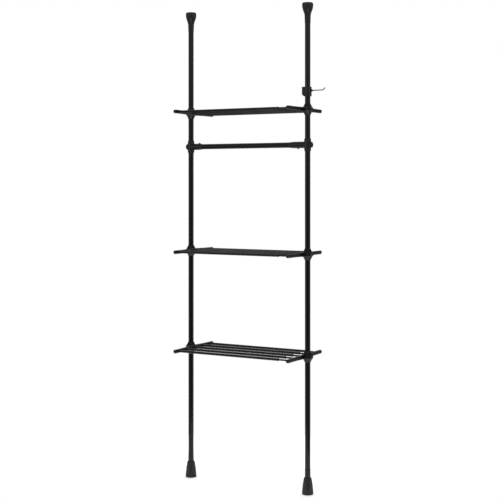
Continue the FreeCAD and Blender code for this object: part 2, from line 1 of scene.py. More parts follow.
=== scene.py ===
import json
import math
import bmesh
import bpy
import numpy as np
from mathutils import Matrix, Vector


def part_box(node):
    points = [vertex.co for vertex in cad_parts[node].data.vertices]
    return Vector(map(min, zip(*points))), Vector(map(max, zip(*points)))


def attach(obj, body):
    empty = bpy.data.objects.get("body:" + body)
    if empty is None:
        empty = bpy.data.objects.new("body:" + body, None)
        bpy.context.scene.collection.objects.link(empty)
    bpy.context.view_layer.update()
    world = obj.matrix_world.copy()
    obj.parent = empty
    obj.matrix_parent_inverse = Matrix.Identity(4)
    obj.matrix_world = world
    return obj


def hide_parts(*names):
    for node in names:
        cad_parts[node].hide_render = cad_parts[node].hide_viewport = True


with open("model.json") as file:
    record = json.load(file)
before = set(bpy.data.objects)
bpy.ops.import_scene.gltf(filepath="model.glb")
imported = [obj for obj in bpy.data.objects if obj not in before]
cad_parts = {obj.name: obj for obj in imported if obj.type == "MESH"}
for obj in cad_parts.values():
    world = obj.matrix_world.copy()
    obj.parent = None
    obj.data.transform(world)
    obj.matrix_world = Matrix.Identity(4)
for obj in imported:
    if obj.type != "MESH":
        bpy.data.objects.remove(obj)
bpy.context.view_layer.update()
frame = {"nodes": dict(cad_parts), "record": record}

nodes = frame["nodes"]
slotOf = {part["node"]: part["material_slot"] for part in frame["record"]["subparts"]}
mm = 0.001
shelfNames = ("low_shelf", "middle_shelf", "top_shelf")
shelfTubes = 5
sharpAngle = 40           # edges that turn by more degrees than this stay crisp
bevelSamples = 6
print("stage 1: frame loaded")


# shader tools

class Wire:
    # a node's output that can stand in a Python sum or product
    def __init__(self, recipe, socket):
        self.recipe = recipe
        self.socket = socket

    def maths(self, operation, other):
        # this wire and another wire or number through one maths node
        return self.recipe.add("ShaderNodeMath", {"operation": operation}, {0: self, 1: other})

    def __add__(self, other):
        return self.maths("ADD", other)

    def __mul__(self, other):
        return self.maths("MULTIPLY", other)


class Recipe:
    # one material's or the world's node tree
    def __init__(self, owner):
        owner.use_nodes = True
        self.tree = owner.node_tree
        self.tree.nodes.clear()

    def add(self, kind, settings=None, sockets=None, output=0):
        # a node with its settings; a socket gets a wire or a constant
        node = self.tree.nodes.new(kind)
        for name, value in (settings or {}).items():
            setattr(node, name, value)
        for name, value in (sockets or {}).items():
            if isinstance(value, Wire):
                self.tree.links.new(value.socket, node.inputs[name])
            else:
                node.inputs[name].default_value = value
        return Wire(self, node.outputs[output]) if node.outputs else None

    def noise(self, scale, detail, stretch=(1, 1, 1)):
        # cloudy noise over object coordinates, drawn out along each axis whose stretch is below one
        place = self.add("ShaderNodeTexCoord", output="Object")
        drawn = self.add("ShaderNodeMapping", {"vector_type": "POINT"}, {"Vector": place, "Scale": stretch})
        return self.add("ShaderNodeTexNoise", {}, {"Vector": drawn, "Scale": scale, "Detail": detail})

    def ramp(self, value, stops):
        # grey that runs in straight lines from stop to stop, each one a place and its grey
        wire = self.add("ShaderNodeValToRGB", {}, {"Fac": value})
        elements = wire.socket.node.color_ramp.elements
        while len(elements) < len(stops):
            elements.new(0.5)
        for element, (place, grey) in zip(elements, stops):
            element.position = place
            element.color = (grey, grey, grey, 1)
        return wire

    def blend(self, amount, first, second):
        # mix of two colours; the node keeps them in sockets 6 and 7 and gives the colour in output 2
        return self.add("ShaderNodeMix", {"data_type": "RGBA"}, {0: amount, 6: first, 7: second}, 2)

    def relief(self, look, height):
        # every edge is rounded by the look's radius, and the fine height lies over that
        soft = self.add("ShaderNodeBevel", {"samples": bevelSamples}, {"Radius": look["edgeRadius"]})
        return self.add("ShaderNodeBump", {}, {
            "Height": height,
            "Distance": look["bumpDepth"],
            "Strength": look["bumpStrength"],
            "Normal": soft,
        })

    def finish(self, sockets):
        # principled shader with these sockets, led to the material's surface
        shader = self.add("ShaderNodeBsdfPrincipled", {}, sockets)
        self.add("ShaderNodeOutputMaterial", {}, {"Surface": shader})


# finishes; each noise is given by its scale and detail, each colour as red, green, blue and alpha

coatLook = {
    "dark": (0.0034, 0.0041, 0.0043, 1),
    "light": (0.0062, 0.0073, 0.0075, 1),
    "cloud": (9.0, 3.0),
    "peel": (850.0, 1.5),         # orange peel of the powder coat, about 1.2 mm
    "grain": (5200.0, 0.0),
    "rubbed": (38.0, 5.0),        # faint patches rubbed by hands
    "rubbedStops": ((0.50, 0.0), (0.74, 1.0)),
    "roughness": 0.09,            # the least, to which the next three add
    "cloudRough": 0.06,
    "rubbedRough": 0.07,
    "grainRough": 0.05,
    "grainHeight": 0.25,          # beside a peel height of one
    "bumpDepth": 0.00003,
    "bumpStrength": 0.8,
    "edgeRadius": 0.0004,
    "ior": 1.36,
}

plasticLook = {
    "dark": (0.0036, 0.0042, 0.0043, 1),
    "light": (0.0068, 0.0077, 0.0078, 1),
    "cloud": (16.0, 4.0),
    "grain": (2600.0, 2.0),       # spark-eroded mould grain, about 0.4 mm
    "flow": (60.0, 2.0),          # flow marks of the moulding, drawn out upwards
    "flowStretch": (1, 1, 0.25),
    "rubbed": (55.0, 6.0),
    "rubbedStops": ((0.52, 0.0), (0.70, 1.0)),
    "roughness": 0.19,            # the least, to which the next three add
    "cloudRough": 0.13,
    "rubbedRough": 0.08,
    "flowRough": 0.06,
    "flowHeight": 0.6,            # beside a grain height of one
    "bumpDepth": 0.00003,
    "bumpStrength": 0.9,
    "edgeRadius": 0.0007,
    "ior": 1.43,
}

rubberLook = {
    "dark": (0.008, 0.008, 0.008, 1),
    "light": (0.020, 0.020, 0.0195, 1),
    "cloud": (45.0, 5.0),
    "grain": (1500.0, 3.0),
    "dust": (260.0, 4.0),
    "dustStops": ((0.56, 0.0), (0.72, 1.0)),
    "dustShare": 0.5,
    "cloudShare": 0.4,
    "roughness": 0.66,
    "cloudRough": 0.16,
    "bumpDepth": 0.00006,
    "bumpStrength": 1.0,
    "edgeRadius": 0.0005,
    "ior": 1.52,
}

screwLook = {
    "dark": (0.045, 0.045, 0.048, 1),
    "light": (0.085, 0.085, 0.09, 1),
    "roughness": 0.30,
    "brushRough": 0.22,
}

steelLook = {
    "dark": (0.36, 0.37, 0.38, 1),
    "light": (0.56, 0.57, 0.58, 1),
    "roughness": 0.24,
    "brushRough": 0.2,
}

metalGrain = {
    "cloud": (70.0, 4.0),
    "brush": (420.0, 3.0),
    "cloudShare": 0.6,
    "brushShare": 0.4,
    "bumpDepth": 0.00001,
    "bumpStrength": 1.0,
    "edgeRadius": 0.0002,
}


def makeCoat(name, stretch):
    # clouds mix two near blacks; clouds, rubbed patches and grain add up to the roughness
    look = coatLook
    material = bpy.data.materials.new(name)
    recipe = Recipe(material)
    cloud = recipe.noise(*look["cloud"], stretch)
    peel = recipe.noise(*look["peel"])
    grain = recipe.noise(*look["grain"])
    rubbed = recipe.ramp(recipe.noise(*look["rubbed"]), look["rubbedStops"])
    worn = cloud * look["cloudRough"] + rubbed * look["rubbedRough"]
    recipe.finish({
        "Base Color": recipe.blend(cloud, look["dark"], look["light"]),
        "Roughness": worn + look["roughness"] + grain * look["grainRough"],
        "IOR": look["ior"],
        "Normal": recipe.relief(look, peel + grain * look["grainHeight"]),
    })
    return material


def makePlastic(name):
    # as the coat, with flow marks in place of the peel
    look = plasticLook
    material = bpy.data.materials.new(name)
    recipe = Recipe(material)
    cloud = recipe.noise(*look["cloud"])
    grain = recipe.noise(*look["grain"])
    flow = recipe.noise(*look["flow"], look["flowStretch"])
    rubbed = recipe.ramp(recipe.noise(*look["rubbed"]), look["rubbedStops"])
    worn = cloud * look["cloudRough"] + rubbed * look["rubbedRough"]
    recipe.finish({
        "Base Color": recipe.blend(cloud, look["dark"], look["light"]),
        "Roughness": worn + flow * look["flowRough"] + look["roughness"],
        "IOR": look["ior"],
        "Normal": recipe.relief(look, grain + flow * look["flowHeight"]),
    })
    return material


def makeRubber(name):
    # dust specks and clouds lighten the rubber; clouds alone change its roughness
    look = rubberLook
    material = bpy.data.materials.new(name)
    recipe = Recipe(material)
    cloud = recipe.noise(*look["cloud"])
    grain = recipe.noise(*look["grain"])
    dust = recipe.ramp(recipe.noise(*look["dust"]), look["dustStops"])
    paleness = dust * look["dustShare"] + cloud * look["cloudShare"]
    recipe.finish({
        "Base Color": recipe.blend(paleness, look["dark"], look["light"]),
        "Roughness": cloud * look["cloudRough"] + look["roughness"],
        "IOR": look["ior"],
        "Normal": recipe.relief(look, grain),
    })
    return material


def makeMetal(name, look, stretch):
    # clouds and brush marks mix two greys; brush marks give roughness and height
    material = bpy.data.materials.new(name)
    recipe = Recipe(material)
    cloud = recipe.noise(*metalGrain["cloud"])
    brush = recipe.noise(*metalGrain["brush"], stretch)
    paleness = cloud * metalGrain["cloudShare"] + brush * metalGrain["brushShare"]
    recipe.finish({
        "Base Color": recipe.blend(paleness, look["dark"], look["light"]),
        "Metallic": 1.0,
        "Roughness": brush * look["brushRough"] + look["roughness"],
        "Normal": recipe.relief(metalGrain, brush),
    })
    return material


evenStretch = (1, 1, 1)
poleStretch = (1, 1, 0.12)        # clouds run along the tubes, as the spray gun does
crossStretch = (0.12, 1, 1)
rodStretch = (1, 1, 0.1)

finishes = {
    "coated_tube": makeCoat("powder coat on poles", poleStretch),
    "coated_wire": makeCoat("powder coat on wire", evenStretch),
    "moulded_plastic": makePlastic("grained black moulding"),
    "rubber": makeRubber("black rubber"),
    "black_screw": makeMetal("blackened screw", screwLook, evenStretch),
    "bare_steel": makeMetal("zinc plated steel", steelLook, rodStretch),
}
crossCoat = makeCoat("powder coat on cross tubes", crossStretch)

for name, node in nodes.items():
    node.data.materials.clear()
    crossing = name.endswith("_tubes") or name in ("bar_outer_tube", "bar_inner_tube")
    node.data.materials.append(crossCoat if crossing else finishes[slotOf[name]])
print("stage 2: finishes made")


# surface tools

def gridFaces(rows, columns, closedRows, closedColumns):
    # quads between neighbouring points of a grid whose column index runs fastest
    row = np.arange(rows if closedRows else rows - 1)
    column = np.arange(columns if closedColumns else columns - 1)
    row, column = np.meshgrid(row, column, indexing="ij")
    nextRow = (row + 1) % rows
    nextColumn = (column + 1) % columns
    quads = np.stack([
        row * columns + column,
        row * columns + nextColumn,
        nextRow * columns + nextColumn,
        nextRow * columns + column,
    ], -1)
    return quads.reshape(-1, 4).tolist()


def fanFaces(ring, centre):
    # triangles from a ring of points to one point
    return np.stack([ring, np.roll(ring, -1), np.full(len(ring), centre)], -1).tolist()


def roundCorners(corners, radii, steps=5):
    # outline through the corners, each one replaced by an arc of its radius
    corners = np.array(corners, float)
    outline = [corners[:1]]
    for before, corner, after, radius in zip(corners[:-2], corners[1:-1], corners[2:], radii):
        if radius <= 0:
            outline.append(corner[None])
            continue
        inward = (before - corner) / np.linalg.norm(before - corner)
        outward = (after - corner) / np.linalg.norm(after - corner)
        half = math.acos(float(inward @ outward)) / 2
        bisector = (inward + outward) / np.linalg.norm(inward + outward)
        centre = corner + bisector * radius / math.sin(half)
        first = corner + inward * radius / math.tan(half) - centre
        last = corner + outward * radius / math.tan(half) - centre
        share = np.linspace(0, 1, steps + 1)[:, None]
        arc = first * (1 - share) + last * share
        outline.append(centre + arc / np.linalg.norm(arc, axis=1)[:, None] * radius)
    outline.append(corners[-1:])
    return np.concatenate(outline)


def bowed(start, end, sag, steps):
    # points from start to end, set off sideways by a parabola of the given rise
    start = np.array(start)
    end = np.array(end)
    share = np.linspace(0, 1, steps)[:, None]
    across = np.array([end[1] - start[1], start[0] - end[0]]) / np.linalg.norm(end - start)
    return start + (end - start) * share + across * sag * 4 * share * (1 - share)


def turned(radius, height, angle):
    # points at a radius and height, turned by an angle about Z
    return np.stack([radius * np.cos(angle), radius * np.sin(angle), height + 0 * angle], -1).reshape(-1, 3)


def fullTurn(columns):
    # even angles all the way round, as one row
    return np.linspace(0, 2 * np.pi, columns, endpoint=False)[None, :]


def turnedShell(outline, columns, ripple=None):
    # outline of (radius, height) points from axis to axis, turned all the way about Z;
    # a ripple changes radius and height by angle
    radius = outline[1:-1, 0][:, None]
    height = outline[1:-1, 1][:, None]
    angle = fullTurn(columns)
    if ripple:
        radius, height = ripple(radius, height, angle)
    rows = len(outline) - 2
    ends = np.array([[0, 0, outline[0, 1]], [0, 0, outline[-1, 1]]])
    faces = gridFaces(rows, columns, False, True)
    faces += fanFaces(np.arange(columns), rows * columns)
    faces += fanFaces(np.arange(columns) + (rows - 1) * columns, rows * columns + 1)
    return np.concatenate([turned(radius, height, angle), ends]), faces


def ringShell(outline, columns):
    # closed outline of (radius, height) points, turned all the way about Z
    points = turned(outline[:, 0][:, None], outline[:, 1][:, None], fullTurn(columns))
    return points, gridFaces(len(outline), columns, True, True)


def moved(shell, offset):
    # the same shell, shifted
    points, faces = shell
    return points + np.array(offset), faces


def aimed(shell, way):
    # a shell made along Z, turned to point along +X for right or -X for left
    points, faces = shell
    x, y, z = points.T
    if way == "right":
        return np.stack([z, y, -x], -1), faces
    return np.stack([-z, y, x], -1), faces


def makePiece(name, shells, slot, body, replaced):
    # joins shells into one mesh, with faces outwards and soft shading
    faces = []
    count = 0
    for shellPoints, shellFaces in shells:
        faces += [[index + count for index in face] for face in shellFaces]
        count += len(shellPoints)
    mesh = bpy.data.meshes.new(name)
    mesh.from_pydata(np.concatenate([shell[0] for shell in shells]).tolist(), [], faces)
    form = bmesh.new()
    form.from_mesh(mesh)
    bmesh.ops.recalc_face_normals(form, faces=form.faces)
    form.to_mesh(mesh)
    form.free()
    mesh.shade_smooth()
    mesh.set_sharp_from_angle(angle=math.radians(sharpAngle))
    mesh.materials.append(finishes[slot])
    piece = bpy.data.objects.new(name, mesh)
    bpy.context.scene.collection.objects.link(piece)
    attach(piece, body)
    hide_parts(replaced)


def poleX(side):
    # middle of the pole's box
    low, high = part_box(side + "_upper_tube")
    return (low.x + high.x) / 2


def halfWidth(node):
    # half of the node's box along X, the radius of a round piece that stands upright
    low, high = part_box(node)
    return (high.x - low.x) / 2


poleRadius = halfWidth("left_upper_tube")


# ceiling caps and their screwed rods

bell = {
    "columns": 240,
    "neckRadius": 14.5 * mm,
    "neckSag": -0.5 * mm,
    "neckSteps": 20,
    "waistRadius": 20.2 * mm,
    "waistDrop": 39 * mm,         # drops are measured down from the top of the unit
    "flareSag": 1.6 * mm,
    "flareSteps": 26,
    "smoothings": 12,
    "widestDrop": 11 * mm,
    "rimDrop": 3 * mm,
    "rimInset": 0.9 * mm,
    "rimWall": 1.5 * mm,
    "rimRounding": 0.6 * mm,
    "dishDrop": 8.3 * mm,
    "dishRounding": 0.5 * mm,
    "lobes": 6,
    "firstGroove": np.pi / 6,
    "grooveDepth": 1.7 * mm,
    "grooveSharpness": 8.0,
    "grooveEnd": 46 * mm,
    "grooveFade": 26 * mm,
    "rimWave": 0.5 * mm,
    "waveReach": 8 * mm,
    "plateGap": 0.45 * mm,        # round the pad's plate in the dish
    "leastWall": 0.55 * mm,       # left between a groove and the dish
    "wallReach": 9.5 * mm,
    "dishReach": 10 * mm,
}

thread = {
    "columns": 40,
    "pitch": 4 * mm,
    "depth": 0.9 * mm,
    "rowsPerPitch": 12,
    "flankSlope": 3.0,
    "crestFlat": 0.25,
    "leadIn": 3 * mm,
    "leadCut": 0.8,
}


def bellOutline(top, bottom, radius):
    # hollow neck and swelling bell run into each other, then the rim and down into the dish
    widest = (radius, top - bell["widestDrop"])
    waist = (bell["waistRadius"], top - bell["waistDrop"])
    neck = (bell["neckRadius"], bottom)
    curve = np.concatenate([
        bowed(neck, waist, bell["neckSag"], bell["neckSteps"])[:-1],
        bowed(waist, widest, bell["flareSag"], bell["flareSteps"]),
    ])
    for _ in range(bell["smoothings"]):
        curve[1:-1] = (curve[:-2] + 2 * curve[1:-1] + curve[2:]) / 4
    rimRadius = radius - bell["rimInset"]
    rim = roundCorners([
        widest,
        (rimRadius, top - bell["rimDrop"]),
        (rimRadius - bell["rimWall"], top - bell["rimDrop"]),
        (rimRadius - bell["rimWall"], top - bell["dishDrop"]),
        (0, top - bell["dishDrop"]),
    ], [bell["rimRounding"], bell["rimRounding"], bell["dishRounding"]])
    return np.concatenate([[[0, bottom]], curve, rim[1:]])


def bellRipple(top):
    # grooves, a power of a cosine round the bell, fade towards the neck; the rim dips at each of them,
    # and neither cuts through the rim to the dish
    dish = halfWidth("left_pad_plate") + bell["plateGap"]

    def ripple(radius, height, angle):
        groove = np.cos(bell["lobes"] / 2 * (angle - bell["firstGroove"])) ** bell["grooveSharpness"]
        drop = top - height
        outside = (radius > dish) | (drop > bell["dishReach"])
        reach = np.clip((bell["grooveEnd"] - drop) / bell["grooveFade"], 0, 1)
        least = np.where(drop < bell["wallReach"], np.minimum(radius, dish + bell["leastWall"]), 0)
        dip = bell["rimWave"] * groove * np.clip(1 - drop / bell["waveReach"], 0, 1)
        return np.maximum(radius - bell["grooveDepth"] * groove * reach * outside, least), height - dip
    return ripple


def threadShell(bottom, top, radius):
    # radius falls and rises once a pitch, the pattern climbs one pitch a turn, and the first turn is shallow
    rows = int((top - bottom) / thread["pitch"] * thread["rowsPerPitch"])
    height = np.linspace(bottom, top, rows)
    outline = np.concatenate([[[0, bottom]], np.stack([0 * height + radius, height], -1), [[0, top]]])

    def ripple(radius, height, angle):
        turn = (height / thread["pitch"] - angle / (2 * np.pi)) % 1
        flank = np.clip(np.abs(turn - 0.5) * thread["flankSlope"] - thread["crestFlat"], 0, 1)
        lead = thread["leadCut"] * (1 - np.clip((height - bottom) / thread["leadIn"], 0, 1))
        return radius - thread["depth"] * np.minimum(1 - flank + lead, 1), height
    return turnedShell(outline, thread["columns"], ripple)


for side in ("left", "right"):
    low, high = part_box(side + "_ceiling_cap")
    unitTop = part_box(side + "_ceiling_pad")[1].z
    outline = bellOutline(unitTop, low.z, (high.x - low.x) / 2)
    shell = moved(turnedShell(outline, bell["columns"], bellRipple(unitTop)), (poleX(side), 0, 0))
    makePiece(side + "_bell_grip", [shell], "moulded_plastic", side + "_cap", side + "_ceiling_cap")
    low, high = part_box(side + "_jack_rod")
    shell = moved(threadShell(low.z, high.z, (high.x - low.x) / 2), (poleX(side), 0, 0))
    makePiece(side + "_screwed_rod", [shell], "bare_steel", side + "_cap", side + "_jack_rod")
print("stage 3: ceiling jacks made")


# feet

foot = {
    "columns": 192,
    "edgeInset": 1.0 * mm,
    "edgeChamfer": 0.3 * mm,
    "edgeRise": 0.4 * mm,
    "coneRise": 1.2 * mm,
    "coneSteps": 30,
    "bellyInset": 2.2 * mm,
    "bellyRise": 34 * mm,
    "shoulderRadius": 18.2 * mm,
    "shoulderHeight": 73 * mm,
    "shoulderInset": 1.4 * mm,
    "shoulderRise": 3.6 * mm,
    "shoulderRounding": 1.2 * mm,
    "neckWall": 1.0 * mm,
    "neckRise": 6 * mm,
    "neckRounding": 2.2 * mm,
    "tipWall": 0.6 * mm,
    "tipRounding": 0.3 * mm,
    "lipDepth": 6 * mm,
    "lipRounding": 0.2 * mm,
    "poleGap": 0.06 * mm,
    "flutes": 8,
    "firstFlute": np.pi / 6,
    "fluteDepth": 0.9 * mm,
    "fluteSharpness": 6,
    "fluteBottom": 19 * mm,
    "fluteTop": 71 * mm,
    "fluteFade": 16 * mm,
}

sole = {
    "columns": 96,
    "steps": 90,
    "plainSteps": 6,
    "treads": 4,
    "treadDepth": 0.7 * mm,
    "treadSteepness": 3.0,
    "treadWidth": 1.6,
    "treadInset": 2.2 * mm,
    "wallInset": 0.4 * mm,
    "edgeRounding": 1.0 * mm,
    "topRounding": 0.8 * mm,
}


def footOutline(base, bottom, top):
    # small edge, a cone bowed as a quadratic curve, rounded shoulder and a slim neck that ends in a lip
    share = np.linspace(0, 1, foot["coneSteps"])[:, None]
    start = np.array([base, bottom + foot["coneRise"]])
    middle = np.array([base - foot["bellyInset"], bottom + foot["bellyRise"]])
    shoulder = np.array([foot["shoulderRadius"], foot["shoulderHeight"]])
    cone = start * (1 - share) ** 2 + 2 * middle * share * (1 - share) + shoulder * share ** 2
    neck = roundCorners([
        shoulder,
        (foot["shoulderRadius"] - foot["shoulderInset"], foot["shoulderHeight"] + foot["shoulderRise"]),
        (poleRadius + foot["neckWall"], foot["shoulderHeight"] + foot["neckRise"]),
        (poleRadius + foot["tipWall"], top),
        (poleRadius + foot["poleGap"], top),
        (poleRadius + foot["poleGap"], top - foot["lipDepth"]),
        (0, top - foot["lipDepth"]),
    ], [foot["shoulderRounding"], foot["neckRounding"], foot["tipRounding"], foot["lipRounding"], 0])
    edge = np.array([
        [0, bottom],
        [base - foot["edgeInset"], bottom],
        [base - foot["edgeChamfer"], bottom + foot["edgeRise"]],
    ])
    return np.concatenate([edge, cone, neck[1:]])


def footRipple(radius, height, angle):
    # shallow flutes, a power of a cosine, fade in above the sole and out below the shoulder
    wave = np.cos(foot["flutes"] / 2 * (angle - foot["firstFlute"])) ** foot["fluteSharpness"]
    rise = np.clip((height - foot["fluteBottom"]) / foot["fluteFade"], 0, 1)
    rise = rise * np.clip((foot["fluteTop"] - height) / foot["fluteFade"], 0, 1)
    return radius - foot["fluteDepth"] * wave * rise ** 2 * (3 - 2 * rise), height


def soleOutline(radius, bottom, top):
    # flat tread with ring grooves, crests of a cosine, and a rounded lip that meets the cone
    share = np.linspace(0, 1, sole["steps"])
    wave = np.cos(share * sole["treads"] * 2 * np.pi)
    groove = sole["treadDepth"] * np.clip(wave * sole["treadSteepness"] - sole["treadWidth"], 0, 1)
    groove[-sole["plainSteps"]:] = 0
    tread = np.stack([share * (radius - sole["treadInset"]), bottom + groove], -1)
    wall = roundCorners([
        tread[-1],
        (radius - sole["wallInset"], bottom),
        (radius, top),
        (0, top),
    ], [sole["edgeRounding"], sole["topRounding"]])
    return np.concatenate([tread, wall[1:]])


for side in ("left", "right"):
    low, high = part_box(side + "_foot_cone")
    outline = footOutline((high.x - low.x) / 2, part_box("left_foot_pad")[1].z, high.z)
    shell = moved(turnedShell(outline, foot["columns"], footRipple), (poleX(side), 0, 0))
    makePiece(side + "_fluted_foot", [shell], "moulded_plastic", side + "_pole", side + "_foot_cone")
    low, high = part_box(side + "_foot_pad")
    outline = soleOutline((high.x - low.x) / 2, low.z, high.z)
    shell = moved(turnedShell(outline, sole["columns"]), (poleX(side), 0, 0))
    makePiece(side + "_grooved_sole", [shell], "rubber", side + "_pole", side + "_foot_pad")
print("stage 4: feet made")


# shelf brackets

arm = {
    "sideRows": 130,
    "endRows": 26,
    "endReach": 0.996,            # leaves a small flat face at the very end
    "halfThickness": 6.25 * mm,
    "tipHalfHeight": 8.75 * mm,
    "rootHalfHeight": 11 * mm,
    "rootDepth": 14 * mm,
    "sag": 0.8 * mm,
    "edgeRadius": 3.5 * mm,
    "edgeShare": 0.92,            # of half the arm's height or thickness, at most
    "endRadius": 9 * mm,
    "endRounding": 1.8 * mm,
    "cornerSteps": 7,
}

boss = {
    "columns": 48,
    "radius": 7.9 * mm,
    "rise": 2.4 * mm,
    "root": 3 * mm,
    "tubeGap": 0.06 * mm,
    "roundings": (0.35 * mm, 0.8 * mm, 0.2 * mm),
}

hub = {
    "columns": 72,
    "radius": 25.7 * mm,
    "bandHalf": 5.5 * mm,
    "halfHeight": 26.5 * mm,
    "tipWall": 1.2 * mm,
    "sag": 0.9 * mm,
    "roundings": (0.3 * mm, 0.5 * mm, 40 * mm, 1.3 * mm),
    "roundSteps": 8,
    "poleGap": 0.08 * mm,
    "split": 0.8 * mm,
}


def armHalfHeight(depth, endDepth):
    # straight taper from root to tip less a shallow sag, joined to a round end
    share = np.clip((depth - arm["rootDepth"]) / (endDepth - arm["rootDepth"]), 0, 1)
    taper = arm["rootHalfHeight"] * (1 - share) + arm["tipHalfHeight"] * share
    taper = taper - arm["sag"] * 4 * share * (1 - share)
    past = depth - endDepth
    disc = np.sqrt(np.clip(arm["endRadius"] ** 2 - past ** 2, 0, None))
    return np.where(past > 0, disc, np.maximum(taper, disc))


def armDepths(endDepth):
    # even rows along each side, then rows that crowd towards the round end as a sine does
    swing = np.linspace(-np.pi / 2, np.pi / 2, 2 * arm["endRows"])[arm["endRows"]:]
    inner = np.linspace(0, endDepth, arm["sideRows"])[:-1]
    half = np.concatenate([inner, endDepth + arm["endRadius"] * np.sin(swing) * arm["endReach"]])
    return np.concatenate([-half[::-1][:-1], half])


def armShell(boreRadius, middle, endDepth):
    # rounded rectangle that follows the arm's height from one round end to the other, hollowed for the pole
    depth = armDepths(endDepth)
    height = armHalfHeight(np.abs(depth), endDepth)
    roundStart = endDepth + arm["endRadius"] - arm["endRounding"]
    past = np.clip(np.abs(depth) - roundStart, 0, arm["endRounding"])
    cut = arm["endRounding"] - np.sqrt(arm["endRounding"] ** 2 - past ** 2)
    far = middle + arm["halfThickness"] - cut
    near = middle - arm["halfThickness"] + cut
    near = np.maximum(near, np.sqrt(np.clip(boreRadius ** 2 - depth ** 2, 0, None)))
    radius = np.minimum(arm["edgeRadius"], np.minimum(height, (far - near) / 2) * arm["edgeShare"])[:, None]
    corner = np.linspace(0, np.pi / 2, arm["cornerSteps"])
    turn = np.concatenate([corner, corner + np.pi / 2, corner + np.pi, corner + np.pi * 1.5])[None, :]
    signX = np.repeat([1, -1, -1, 1], arm["cornerSteps"])[None, :]
    signZ = np.repeat([1, 1, -1, -1], arm["cornerSteps"])[None, :]
    centre = ((far + near) / 2)[:, None]
    width = ((far - near) / 2)[:, None]
    x = centre + signX * (width - radius) + radius * np.cos(turn)
    z = signZ * (height[:, None] - radius) + radius * np.sin(turn)
    points = np.stack([x, depth[:, None] + 0 * x, z], -1)
    rows, columns = x.shape
    faces = gridFaces(rows, columns, False, True)
    faces += [list(range(columns)), list(range((rows - 1) * columns, rows * columns))]
    return points.reshape(-1, 3), faces


def hubOutline(boreRadius):
    # double cone with a plain band, every edge rounded, closed along the bore
    tip = poleRadius + hub["tipWall"]
    upper = roundCorners([
        (boreRadius, 0),
        (boreRadius, hub["halfHeight"]),
        (tip, hub["halfHeight"]),
        ((hub["radius"] + tip) / 2 - hub["sag"], (hub["halfHeight"] + hub["bandHalf"]) / 2),
        (hub["radius"], hub["bandHalf"]),
        (hub["radius"], 0),
    ], hub["roundings"], hub["roundSteps"])
    lower = upper[::-1][1:-1] * (1, -1)
    return np.concatenate([upper, lower])


def hubShell(boreRadius):
    # half of the hub, from one split face to the other
    outline = hubOutline(boreRadius)
    radius = outline[:, 0][:, None]
    angle = np.arccos(hub["split"] / radius) * np.linspace(-1, 1, hub["columns"])[None, :]
    points = turned(radius, outline[:, 1][:, None], angle)
    faces = gridFaces(len(outline), hub["columns"], True, False)
    rows = np.arange(len(outline)) * hub["columns"]
    faces += [rows.tolist(), (rows + hub["columns"] - 1).tolist()]
    return points, faces


def bossShell(tubeRadius, face):
    # short ring on the arm's inner face, with rounded lip, that the tube stands in
    bore = tubeRadius + boss["tubeGap"]
    outline = roundCorners([
        (bore, face - boss["root"]),
        (bore, face + boss["rise"]),
        (boss["radius"], face + boss["rise"]),
        (boss["radius"], face - boss["root"]),
        (bore, face - boss["root"]),
    ], boss["roundings"])
    return aimed(ringShell(outline[:-1], boss["columns"]), "right")


def acrossPole(shell, side):
    # shapes are made with +X inboard; the right pole's are turned half round
    points, faces = shell
    return points * ((-1, -1, 1) if side == "right" else (1, 1, 1)), faces


for shelf in shelfNames:
    for side, tubes in (("left", shelf + "_outer_tubes"), ("right", shelf + "_inner_tubes")):
        node = f"{shelf}_{side}_bracket"
        low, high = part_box(node)
        inboard = high.x - poleX(side) if side == "left" else poleX(side) - low.x
        face = inboard - boss["rise"]
        tubeLow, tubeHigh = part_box(tubes)
        tubeRadius = (tubeHigh.z - tubeLow.z) / 2
        outermost = tubeHigh.y - tubeRadius
        bore = poleRadius + hub["poleGap"]
        shells = [armShell(bore, face - arm["halfThickness"], high.y - arm["endRadius"]), hubShell(bore)]
        for depth in np.linspace(-outermost, outermost, shelfTubes):
            shells.append(moved(bossShell(tubeRadius, face), (0, depth, 0)))
        place = (poleX(side), 0, (tubeLow.z + tubeHigh.z) / 2)
        shells = [moved(acrossPole(shell, side), place) for shell in shells]
        makePiece(f"{shelf}_{side}_arm_and_hub", shells, "moulded_plastic", f"{shelf}_{side}", node)
print("stage 5: shelf brackets made")


# guide bushes in the ends of the outer tubes

bush = {
    "columns": 48,
    "tubeGap": 0.08 * mm,
    "plugInset": 0.95 * mm,       # the outer tube's wall and a gap
    "faceGap": 0.02 * mm,
    "roundings": (0.3 * mm, 0.6 * mm, 0.25 * mm, 0.05 * mm, 0.1 * mm),
}

for shelf in shelfNames:
    low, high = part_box(shelf + "_guide_bushes")
    innerLow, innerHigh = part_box(shelf + "_inner_tubes")
    outerLow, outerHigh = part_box(shelf + "_outer_tubes")
    bore = (innerHigh.z - innerLow.z) / 2 + bush["tubeGap"]
    plug = (outerHigh.z - outerLow.z) / 2 - bush["plugInset"]
    flange = (high.z - low.z) / 2
    face = outerHigh.x + bush["faceGap"]
    outline = roundCorners([
        (bore, low.x),
        (bore, high.x),
        (flange, high.x),
        (flange, face),
        (plug, face),
        (plug, low.x),
        (bore, low.x),
    ], bush["roundings"])
    ring = aimed(ringShell(outline[:-1], bush["columns"]), "right")
    outermost = high.y - flange
    height = (low.z + high.z) / 2
    shells = [moved(ring, (0, depth, height)) for depth in np.linspace(-outermost, outermost, shelfTubes)]
    makePiece(shelf + "_tube_collars", shells, "moulded_plastic", shelf + "_left", shelf + "_guide_bushes")
print("stage 6: guide bushes made")


# clamping knobs of the hanger bar

